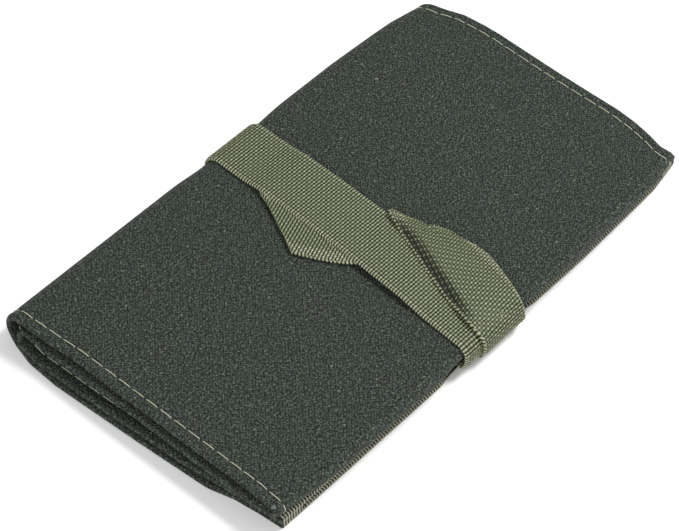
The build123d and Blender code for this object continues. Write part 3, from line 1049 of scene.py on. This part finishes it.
def mixColour(tree, share, a, b):
    node = tree.nodes.new("ShaderNodeMix")
    node.data_type = "RGBA"
    for socket, value in zip((node.inputs[0], node.inputs[6], node.inputs[7]), (share, a, b)):
        if isinstance(value, (int, float, tuple)):
            socket.default_value = value
        else:
            link(tree, value, socket)
    return node.outputs[2]


def noiseNode(tree, vector, scale, detail=2.0, roughness=0.5):
    node = tree.nodes.new("ShaderNodeTexNoise")
    link(tree, vector, node.inputs["Vector"])
    node.inputs["Scale"].default_value = scale
    node.inputs["Detail"].default_value = detail
    node.inputs["Roughness"].default_value = roughness
    return node


def colour(r, g, b):
    # a colour given in screen values from 0 to 255, as linear light
    def linear(v):
        v = v / 255
        return v / 12.92 if v <= 0.04045 else ((v + 0.055) / 1.055) ** 2.4
    return (linear(r), linear(g), linear(b), 1.0)


def mapped(tree, value, low, high, soft=True):
    # value spread from low..high onto 0..1, with soft ends unless soft is off
    node = tree.nodes.new("ShaderNodeMapRange")
    if soft:
        node.interpolation_type = "SMOOTHSTEP"
    link(tree, value, node.inputs[0])
    node.inputs[1].default_value = low
    node.inputs[2].default_value = high
    return node.outputs[0]


weaveLook = {
    "turn": math.pi / 4,
    "smoothness": 0.12,
    "nubEdge": (0.78, 0.1),
    "fibreScale": 1250.0,
    "gritSpan": (0.4, 0.6),
    "strengthSpread": 0.34,
    "strengthBase": 0.26,
    "gritSwing": 1.9,
    "gritBase": 0.15,
    "gritLevel": 0.1,
    "nubHeight": 1.4,
    "gritHeight": 0.45,
}


def weaveGroup():
    # coarse plain weave: one rounded nub per crossing on a jostled lattice turned by an eighth of a turn,
    # each nub of its own strength, with fibre grit over all
    group, start, finish = makeGroup(
        "nubbyWeave",
        [
            ("Vector", "NodeSocketVector", None),
            ("Nubs", "NodeSocketFloat", 700.0),
            ("Jostle", "NodeSocketFloat", 0.6),
        ],
        [("Height", "NodeSocketFloat"), ("Level", "NodeSocketFloat")],
    )
    lattice = group.nodes.new("ShaderNodeMapping")
    lattice.inputs["Rotation"].default_value = (0, 0, weaveLook["turn"])
    link(group, start.outputs["Vector"], lattice.inputs["Vector"])
    cells = group.nodes.new("ShaderNodeTexVoronoi")
    cells.voronoi_dimensions = "2D"
    cells.feature = "SMOOTH_F1"
    cells.inputs["Smoothness"].default_value = weaveLook["smoothness"]
    link(group, lattice.outputs[0], cells.inputs["Vector"])
    link(group, start.outputs["Nubs"], cells.inputs["Scale"])
    link(group, start.outputs["Jostle"], cells.inputs["Randomness"])
    mound = mapped(group, cells.outputs["Distance"], *weaveLook["nubEdge"])
    fibres = noiseNode(group, start.outputs["Vector"], weaveLook["fibreScale"], 2.0, 0.75)
    grit = mapped(group, fibres.outputs["Fac"], *weaveLook["gritSpan"])
    tone = group.nodes.new("ShaderNodeSeparateColor")
    link(group, cells.outputs["Color"], tone.inputs[0])

    def scaled(value, factor, plus=0.0):
        # value times a factor, plus a steady part
        product = mathNode(group, "MULTIPLY", value, factor)
        return mathNode(group, "ADD", product, plus) if plus else product

    strength = scaled(tone.outputs[0], weaveLook["strengthSpread"], weaveLook["strengthBase"])
    nub = mathNode(group, "MULTIPLY", mound, strength)
    swing = scaled(grit, weaveLook["gritSwing"], weaveLook["gritBase"])
    lit = mathNode(group, "MULTIPLY", nub, swing)
    # Level is painted light and shade: low in the pits between the nubs, higher on the nub tops and with the
    # fibre grit
    level = mathNode(group, "ADD", lit, scaled(grit, weaveLook["gritLevel"]), clamp=True)
    raised = scaled(grit, weaveLook["gritHeight"])
    height = mathNode(group, "ADD", scaled(nub, weaveLook["nubHeight"]), raised)
    link(group, height, finish.inputs["Height"])
    link(group, level, finish.inputs["Level"])
    return group


def mottleGroup():
    # waxed cloth: broad patches, finer clouding and scattered pale lint
    group, start, finish = makeGroup(
        "waxMottle",
        [("Vector", "NodeSocketVector", None)],
        [("Patches", "NodeSocketFloat"), ("Clouds", "NodeSocketFloat"), ("Lint", "NodeSocketFloat")],
    )
    patches = noiseNode(group, start.outputs["Vector"], 38.0, 3.0)
    clouds = noiseNode(group, start.outputs["Vector"], 330.0, 3.0, 0.6)
    specks = noiseNode(group, start.outputs["Vector"], 640.0, 2.0, 0.55)
    lint = mapped(group, specks.outputs["Fac"], 0.65, 0.73, soft=False)
    link(group, patches.outputs["Fac"], finish.inputs["Patches"])
    link(group, clouds.outputs["Fac"], finish.inputs["Clouds"])
    link(group, lint, finish.inputs["Lint"])
    return group


weave = weaveGroup()
mottle = mottleGroup()


def newMaterial(name):
    material = bpy.data.materials.new(name)
    material.use_nodes = True
    tree = material.node_tree
    shader = tree.nodes["Principled BSDF"]
    return material, tree, shader


def placed(tree, group, **values):
    node = tree.nodes.new("ShaderNodeGroup")
    node.node_tree = group
    for label, value in values.items():
        node.inputs[label].default_value = value
    return node


def bumpTo(tree, shader, height, distance, strength):
    bump = tree.nodes.new("ShaderNodeBump")
    bump.inputs["Distance"].default_value = distance
    bump.inputs["Strength"].default_value = strength
    link(tree, height, bump.inputs["Height"])
    link(tree, bump.outputs[0], shader.inputs["Normal"])


def uvSource(tree):
    node = tree.nodes.new("ShaderNodeUVMap")
    node.uv_map = "cloth"
    return node.outputs[0]


def canvasMaterial(name, look):
    material, tree, shader = newMaterial(name)
    source = uvSource(tree)
    knit = placed(tree, weave, Nubs=look["nubs"], Jostle=look["jostle"])
    link(tree, source, knit.inputs["Vector"])
    stains = placed(tree, mottle)
    link(tree, source, stains.inputs["Vector"])
    raised = mixColour(tree, stains.outputs["Patches"], look["cool"], look["warm"])
    clouds = mathNode(tree, "MULTIPLY", stains.outputs["Clouds"], look["cloudShare"])
    clouded = mixColour(tree, clouds, raised, look["shade"])
    # painted shade: near black in the pits between the nubs, the cloth's colour on the nub tops
    woven = mixColour(tree, knit.outputs["Level"], look["pitShade"], clouded)
    lint = mathNode(tree, "MULTIPLY", stains.outputs["Lint"], look["lint"])
    linted = mixColour(tree, lint, woven, look["lintColour"])
    link(tree, linted, shader.inputs["Base Color"])
    shader.inputs["Roughness"].default_value = look["roughness"]
    shader.inputs["Specular IOR Level"].default_value = look["specular"]
    bumpTo(tree, shader, knit.outputs["Height"], look["depth"], 1.0)
    return material


canvasLook = {
    "nubs": 1020.0,
    "jostle": 0.55,
    "cool": colour(82, 100, 91),
    "warm": colour(94, 104, 84),
    # painted shade for the pits between the nubs
    "pitShade": colour(8, 11, 9),
    "shade": colour(58, 69, 61),
    "cloudShare": 0.62,
    "lint": 0.55,
    "lintColour": colour(140, 146, 134),
    "roughness": 0.7,
    "specular": 0.3,
    "depth": 0.45 * mm,
}
waxedCanvas = canvasMaterial("waxedCanvas", canvasLook)
pocketCanvas = canvasMaterial("pocketCanvas", {**canvasLook, "nubs": 1000.0, "depth": 0.25 * mm})


def webbingMaterial(look):
    # painted shade between the bumps, two tones of sage on them, paler selvages
    material, tree, shader = newMaterial("sageWebbing")
    reliefAndShade = tree.nodes.new("ShaderNodeAttribute")
    reliefAndShade.attribute_name = "reliefAndShade"
    bumps = mapped(tree, reliefAndShade.outputs["Fac"], *look["bumpSpan"])
    source = uvSource(tree)
    stretch = tree.nodes.new("ShaderNodeMapping")
    stretch.inputs["Scale"].default_value = look["fibreStretch"]
    link(tree, source, stretch.inputs["Vector"])
    fibres = noiseNode(tree, stretch.outputs[0], look["fibreScale"], 2.0)
    patches = noiseNode(tree, source, look["patchScale"], 3.0, 0.6)
    crest = mixColour(tree, patches.outputs["Fac"], look["crest"], look["tint"])
    split = tree.nodes.new("ShaderNodeSeparateXYZ")
    link(tree, source, split.inputs[0])
    across = mathNode(tree, "ABSOLUTE", split.outputs[0])
    rim = mapped(tree, across, *(strap["width"] / 2 - inset for inset in look["rimInset"]), soft=False)
    edged = mixColour(tree, mathNode(tree, "MULTIPLY", rim, look["rimShare"]), crest, look["selvage"])
    # painted shade: the valley colour where the relief is low, the sage tones on the bumps
    link(tree, mixColour(tree, bumps, look["valleyShade"], edged), shader.inputs["Base Color"])
    shader.inputs["Roughness"].default_value = look["roughness"]
    shader.inputs["Specular IOR Level"].default_value = look["specular"]
    bumpTo(tree, shader, fibres.outputs["Fac"], look["depth"], look["bump"])
    return material


webbingLook = {
    # painted shade for the hollows between the yarns
    "valleyShade": colour(16, 20, 9),
    "crest": colour(150, 157, 124),
    "tint": colour(108, 116, 80),
    "selvage": colour(168, 172, 142),
    "bumpSpan": (0.16, 0.72),
    "fibreStretch": (3.2, 1.0, 1.0),
    "fibreScale": 1500.0,
    "patchScale": 420.0,
    "rimInset": (1.0 * mm, 0.3 * mm),
    "rimShare": 0.7,
    "roughness": 0.6,
    "specular": 0.3,
    "depth": 0.1 * mm,
    "bump": 0.8,
}
webbing = webbingMaterial(webbingLook)


def threadMaterial(name, light, dark, scale):
    material, tree, shader = newMaterial(name)
    coordinates = tree.nodes.new("ShaderNodeTexCoord")
    twist = noiseNode(tree, coordinates.outputs["Object"], scale, 2.0)
    link(tree, mixColour(tree, twist.outputs["Fac"], light, dark), shader.inputs["Base Color"])
    shader.inputs["Roughness"].default_value = 0.6
    bumpTo(tree, shader, twist.outputs["Fac"], 0.05 * mm, 0.6)
    return material


hemThread = threadMaterial("hemThread", colour(178, 180, 158), colour(138, 140, 118), 900.0)
edgeThread = threadMaterial("overcastThread", colour(170, 167, 146), colour(112, 110, 92), 700.0)
print("stage: materials")


# every piece gets its material and most get their body; the CAD parts they stand for are hidden

pocketBodies = {"lower": "lower_leaf_body", "cover": "cover", "inner": "cover", "middle": "middle"}


def dress(piece, material):
    piece.data.materials.append(material)


for piece, material, slotName in (
    (outerCanvas, waxedCanvas, "canvas"),
    (innerCanvas, waxedCanvas, "canvas"),
    (lowerOvercast, edgeThread, "edging_thread"),
    (middleOvercast, edgeThread, "edging_thread"),
    (strapFirst, webbing, "webbing"),
    (strapUnder, webbing, "webbing"),
    (strapSecond, webbing, "webbing"),
    (strapSewnEnd, webbing, "webbing"),
    (strapStitches, hemThread, "thread"),
):
    dress(piece, material)
for piece in hemThreads.values():
    dress(piece, hemThread)

for leaf, (panel, seams) in pockets.items():
    dress(panel, pocketCanvas)
    dress(seams, hemThread)
    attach(panel, pocketBodies[leaf])
    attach(seams, pocketBodies[leaf])
    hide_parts(leaf + "_pockets")
    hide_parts(leaf + "_pocket_seams")

for piece in (outerCanvas, hemThreads["spineHemStitches"], strapUnder):
    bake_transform(piece)
for piece in (innerCanvas, hemThreads["innerSpineHemStitches"]):
    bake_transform(piece)
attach(hemThreads["lowerHemStitches"], "lower_leaf_body")
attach(hemThreads["coverHemStitches"], "cover")
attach(hemThreads["innerHemStitches"], "cover")
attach(hemThreads["middleHemStitches"], "middle")
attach(lowerOvercast, "lower_leaf_body")
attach(middleOvercast, "middle")
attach(strapFirst, "cover")
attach(strapSewnEnd, "lower_leaf_body")
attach(strapStitches, "lower_leaf_body")

tailJoint = [j for j in frame["joints"] if j["name"] == "tail_lift"][0]
tailAxis = np.array(tailJoint["axis"])
tailOut = np.cross(tailAxis, np.array([0, 0, 1.0]))
tailOut = tailOut * (-1 if tailOut[0] > 0 else 1)
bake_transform(strapSecond)

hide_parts("lower_leaf", "outer_spine_fold", "cover_leaf")
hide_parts("front_fold", "inner_leaf", "inner_spine_fold", "middle_leaf")
for leaf in ("lower", "cover", "inner", "middle"):
    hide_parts(leaf + "_hem_stitches")
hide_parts("lower_edging")
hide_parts("middle_edging")
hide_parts("strap_top_run", "strap_front_bend")
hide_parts("strap_spine_bend", "strap_under_run")
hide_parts("wrap_front_bend", "wrap_top_run", "wrap_fold", "tail_under_run", "strap_tail")
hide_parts("strap_anchor")
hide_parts("strap_anchor_stitches")
print("stage: bodies")


# floor, light and camera

studio = {
    "floorSize": 6,
    "floorColour": (0.92, 0.92, 0.92, 1),
    "floorRoughness": 0.9,
    "worldStrength": 0.42,
    "key": {"at": (0.52, -0.3, 0.86), "size": 0.42, "power": 11},
    "fill": {"at": (-0.7, -0.3, 0.6), "size": 0.8, "power": 5.5},
}

# degrees round and up, then the distance back and the shifts of the view's middle
view = {
    "azimuth": -48.243,
    "elevation": 48.41,
    "distance": 958.9 * mm,
    "aimX": -7.16 * mm,
    "aimUp": -4.48 * mm,
    "acrossShift": 0.6 * mm,
    "lens": 139.83,
}


def stageSet():
    bpy.ops.mesh.primitive_plane_add(size=studio["floorSize"], location=(0, 0, 0))
    floor = bpy.context.object
    floor.name = "floor"
    material, tree, shader = newMaterial("paleFloor")
    shader.inputs["Base Color"].default_value = studio["floorColour"]
    shader.inputs["Roughness"].default_value = studio["floorRoughness"]
    floor.data.materials.append(material)
    world = bpy.data.worlds.new("softWorld")
    bpy.context.scene.world = world
    world.use_nodes = True
    background = world.node_tree.nodes["Background"]
    background.inputs[0].default_value = (1, 1, 1, 1)
    background.inputs[1].default_value = studio["worldStrength"]


def areaLight(name):
    # a round soft light that faces the middle of the roll
    lamp = studio[name]
    data = bpy.data.lights.new(name, "AREA")
    data.shape = "DISK"
    data.size = lamp["size"]
    data.energy = lamp["power"]
    light = bpy.data.objects.new(name, data)
    bpy.context.scene.collection.objects.link(light)
    light.location = lamp["at"]
    light.rotation_euler = (-Vector(lamp["at"])).to_track_quat("-Z", "Y").to_euler()


def makeCamera():
    # back along the view's direction, with its own right and up
    around, rise = math.radians(view["azimuth"]), math.radians(view["elevation"])
    back = Vector((math.sin(around) * math.cos(rise), -math.cos(around) * math.cos(rise), math.sin(rise)))
    right = Vector((math.cos(around), math.sin(around), 0))
    up = back.cross(right)
    data = bpy.data.cameras.new("camera")
    data.lens = view["lens"]
    data.sensor_width = 36
    data.clip_start = 0.01
    camera = bpy.data.objects.new("camera", data)
    bpy.context.scene.collection.objects.link(camera)
    at = back * view["distance"] + right * view["aimX"] + up * view["aimUp"]
    at = at + Vector((0, view["acrossShift"], 0))
    turn = Matrix((right, up, back)).transposed()
    camera.matrix_world = Matrix.Translation(at) @ turn.to_4x4()
    bpy.context.scene.camera = camera


stageSet()
areaLight("key")
areaLight("fill")
makeCamera()
bpy.context.scene.view_settings.view_transform = "Standard"
print("stage: set")
